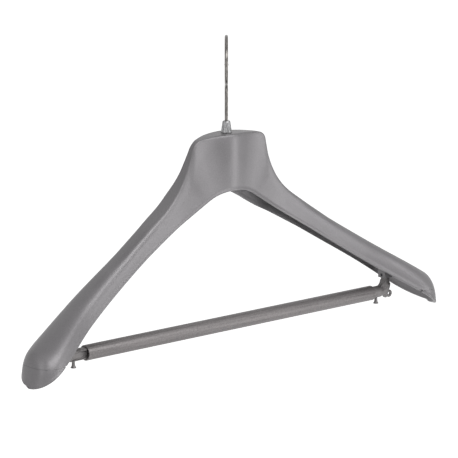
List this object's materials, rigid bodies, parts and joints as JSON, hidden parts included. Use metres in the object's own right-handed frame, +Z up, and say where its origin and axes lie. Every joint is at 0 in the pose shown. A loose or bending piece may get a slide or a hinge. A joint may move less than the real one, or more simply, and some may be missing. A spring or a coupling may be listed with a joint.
{
  "type": "trouser hanger",
  "caption": "Wide-shouldered suit hanger with a round trouser bar on moulded elbows and a swivelling wire hook.",
  "frame": {"origin": "the inner crown of the hook, where it rests on the rail, on the axis of the hook's stem", "axes": "+X to the hanger's right as seen from the front, along the trouser bar; +Y to the back; +Z up along the hook's stem"},
  "size_m": [0.4496, 0.0544, 0.2644],
  "materials": {
    "shell_plastic": "silver-grey satin lacquer",
    "cap_plastic": "silver-grey satin lacquer",
    "hook_chrome": "bright plated wire",
    "ferrule_metal": "satin, fluted",
    "bush_plastic": "natural moulded",
    "washer_steel": "zinc plated",
    "clip_steel": "dark spring steel",
    "bar_plastic": "silver-grey lacquer with fine lengthways grain",
    "elbow_plastic": "silver-grey satin moulded"
  },
  "bodies": {
    "hook": {"hook_wire": "hook_chrome", "hook_ferrule": "ferrule_metal", "hook_washer": "washer_steel", "hook_clip": "clip_steel"},
    "hanger": {"hanger_body": "shell_plastic", "shoulder_cap_left": "cap_plastic", "shoulder_cap_right": "cap_plastic", "hook_bush": "bush_plastic", "bar_elbow_left": "elbow_plastic", "bar_elbow_right": "elbow_plastic", "elbow_pins": "clip_steel"},
    "bar": {"bar_tube": "bar_plastic"}
  },
  "joints": [
    {"name": "hook_swivel", "type": "hinge", "parent": "hook", "child": "hanger", "pos_m": [0, 0, -0.0804], "axis": [0, 0, 1], "continuous": true},
    {"name": "bar_spin", "type": "hinge", "parent": "hanger", "child": "bar", "pos_m": [0.0028, -0.0065, -0.2458], "axis": [1, 0, 0], "continuous": true}
  ]
}
